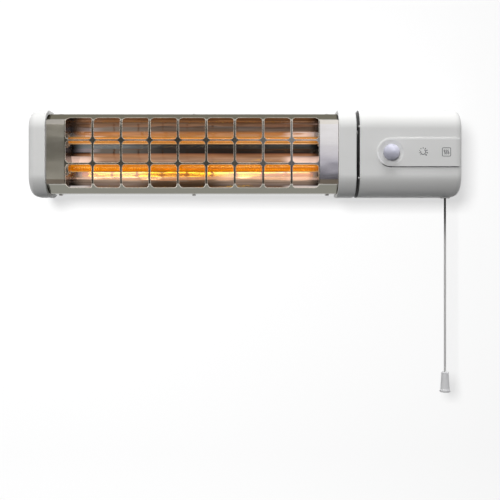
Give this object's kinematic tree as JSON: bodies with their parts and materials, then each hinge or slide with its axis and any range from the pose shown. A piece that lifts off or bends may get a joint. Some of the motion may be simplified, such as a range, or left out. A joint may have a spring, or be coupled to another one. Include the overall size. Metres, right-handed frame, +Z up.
{
  "type": "quartz infrared wall heater",
  "caption": "Wall-mounted quartz infrared heater: tilting head with tubes behind a punched steel front, beside a fixed control box with knob and pull cord.",
  "frame": {"origin": "middle of the two wall-screw holes, on the rail's back face, which lies on the wall", "axes": "+Z up, +X along the heater towards the control box, +Y into the wall; the front faces -Y"},
  "size_m": [0.567, 0.116, 0.376],
  "materials": {
    "white_moulding": "satin white moulded plastic",
    "polished_steel": "polished stainless steel sheet",
    "casing_steel": "silver-grey coated steel sheet",
    "plated_steel": "zinc-plated steel",
    "reflector_mirror": "bright anodised reflector sheet",
    "quartz": "clear quartz glass",
    "glowing_wire": "glowing heating wire",
    "ceramic": "unglazed steatite ceramic",
    "brass": "brass",
    "black_moulding": "black moulded plastic",
    "nylon": "natural nylon",
    "screw_steel": "steel",
    "lead_sleeve": "glass-fibre sleeved leads",
    "rubber_seal": "black rubber",
    "knob_moulding": "pale blue-grey moulded plastic",
    "cord_white": "braided pale cord",
    "pull_moulding": "pale grey moulded plastic"
  },
  "bodies": {
    "wall_mount": {"mounting_rail": "plated_steel", "pivot_arm": "plated_steel", "arm_screws": "screw_steel", "pivot_pin": "screw_steel", "retaining_clip": "screw_steel", "box_base": "white_moulding", "box_cover": "white_moulding", "cover_screws": "screw_steel", "box_screws": "screw_steel", "pivot_journal": "brass", "pivot_hub": "black_moulding", "hub_nut": "brass", "wave_washer": "screw_steel", "retaining_nut": "brass", "box_leads": "lead_sleeve", "terminal_block": "nylon", "terminal_screws": "brass", "cable_clamp": "nylon", "clamp_screws": "screw_steel", "cable_grommet": "rubber_seal", "regulator": "black_moulding", "regulator_screws": "screw_steel", "switch_body": "nylon", "switch_screws": "screw_steel", "cord_bush": "white_moulding", "return_spring": "screw_steel"},
    "head": {"end_cap_left": "white_moulding", "end_cap_right": "white_moulding", "front_grille": "polished_steel", "rear_casing": "casing_steel", "end_plate_left": "plated_steel", "end_plate_right": "plated_steel", "reflector": "reflector_mirror", "reflector_end_left": "reflector_mirror", "reflector_end_right": "reflector_mirror", "quartz_tube_upper": "quartz", "quartz_tube_lower": "quartz", "heating_coil_upper": "glowing_wire", "heating_coil_lower": "glowing_wire", "ceramic_holders_left": "ceramic", "ceramic_holders_right": "ceramic", "tube_terminals": "brass", "thermal_cutout": "black_moulding", "pivot_bush_left": "nylon", "pivot_bush_right": "nylon", "grille_screws": "screw_steel", "cap_screws": "screw_steel", "head_leads": "lead_sleeve"},
    "knob": {"control_knob": "knob_moulding", "knob_spindle": "plated_steel"},
    "pull": {"switch_plunger": "nylon", "pull_cord": "cord_white", "cord_pull": "pull_moulding"}
  },
  "joints": [
    {"name": "head_tilt", "type": "hinge", "parent": "wall_mount", "child": "head", "pos_m": [-0.0691, -0.06, 0], "axis": [1, 0, 0], "range_deg": [0, 40]},
    {"name": "knob_turn", "type": "hinge", "parent": "wall_mount", "child": "knob", "pos_m": [0.19015, -0.1052, -0.0014], "axis": [0, 1, 0], "range_deg": [0, 270]},
    {"name": "cord_pull_travel", "type": "slide", "parent": "wall_mount", "child": "pull", "axis": [0, 0, -1], "range_m": [0, 0.008], "stiffness_N_per_m": 500, "springref_m": -0.004, "deforming": ["return_spring"]}
  ]
}
